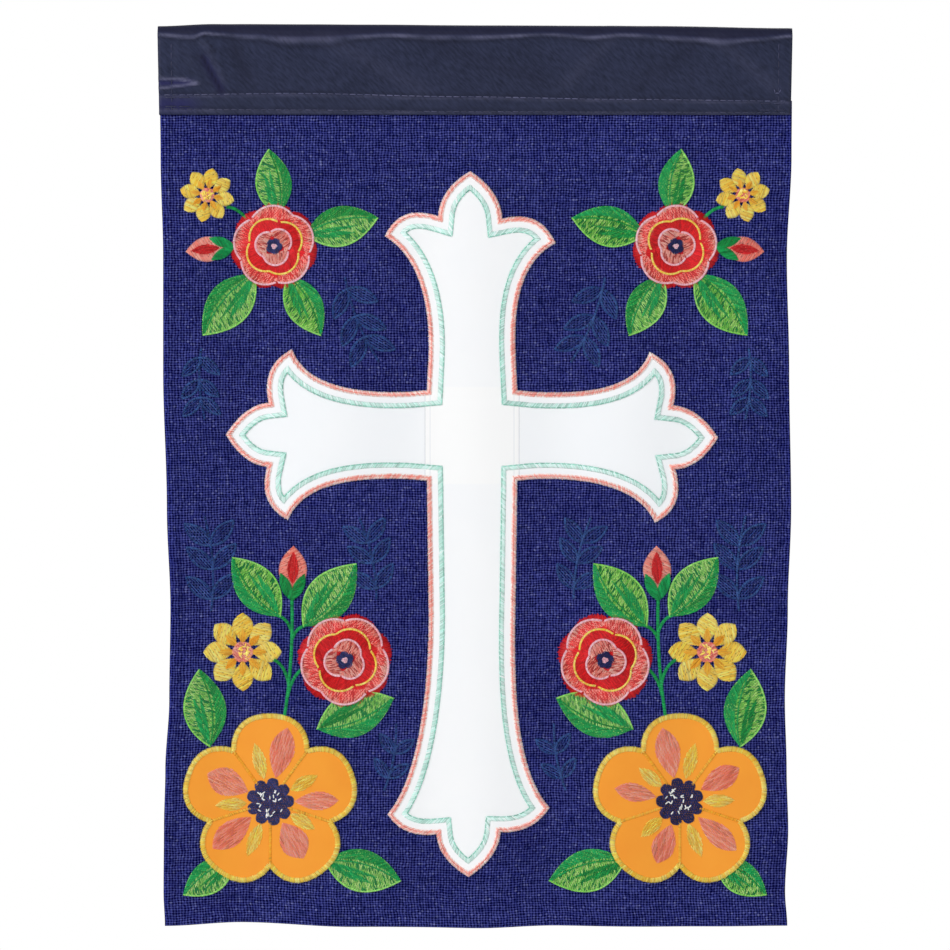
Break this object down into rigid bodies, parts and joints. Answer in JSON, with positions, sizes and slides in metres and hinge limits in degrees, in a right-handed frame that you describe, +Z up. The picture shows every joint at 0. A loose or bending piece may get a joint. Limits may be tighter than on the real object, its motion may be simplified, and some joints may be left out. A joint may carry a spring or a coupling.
{
  "type": "garden flag",
  "caption": "Garden flag of coarse navy cloth with a satin rod sleeve, a white applique cross and stitched flowers, hanging from its top edge.",
  "frame": {"origin": "middle of the top edge, over the rod space of the sleeve", "axes": "+Z up, +X to the right of the front face, front towards -Y"},
  "size_m": [0.322, 0.0134, 0.4592],
  "materials": {
    "coarse_cloth": "coarse plain weave, royal navy",
    "sleeve_satin": "smooth dark navy satin with a soft sheen",
    "white_cloth": "fine white twill",
    "coral_thread": "satin-stitched coral thread",
    "mint_thread": "satin-stitched mint thread",
    "orange_cloth": "smooth orange cloth",
    "navy_thread": "filled navy thread",
    "red_thread": "filled red and coral thread",
    "yellow_thread": "satin-stitched golden thread",
    "pink_thread": "filled coral pink thread",
    "green_thread": "filled two-tone green thread"
  },
  "bodies": {
    "root": {"panel": "coarse_cloth", "rod_sleeve": "sleeve_satin", "cross_upright": "white_cloth", "cross_arm_left": "white_cloth", "cross_arm_right": "white_cloth", "cross_border": "coral_thread", "cross_line": "mint_thread", "blossom_left_1": "orange_cloth", "heart_left_1": "navy_thread", "rosette_left_1": "red_thread", "rosette_left_2": "red_thread", "daisy_left_1": "yellow_thread", "daisy_left_2": "yellow_thread", "bud_left_1": "pink_thread", "bud_left_2": "pink_thread", "leaf_left_1": "green_thread", "leaf_left_2": "green_thread", "leaf_left_3": "green_thread", "leaf_left_4": "green_thread", "leaf_left_5": "green_thread", "leaf_left_6": "green_thread", "leaf_left_7": "green_thread", "leaf_left_8": "green_thread", "leaf_left_9": "green_thread", "leaf_left_10": "green_thread", "blossom_right_1": "orange_cloth", "heart_right_1": "navy_thread", "rosette_right_1": "red_thread", "rosette_right_2": "red_thread", "daisy_right_1": "yellow_thread", "daisy_right_2": "yellow_thread", "bud_right_1": "pink_thread", "bud_right_2": "pink_thread", "leaf_right_1": "green_thread", "leaf_right_2": "green_thread", "leaf_right_3": "green_thread", "leaf_right_4": "green_thread", "leaf_right_5": "green_thread", "leaf_right_6": "green_thread", "leaf_right_7": "green_thread", "leaf_right_8": "green_thread", "leaf_right_9": "green_thread", "leaf_right_10": "green_thread"}
  },
  "joints": []
}
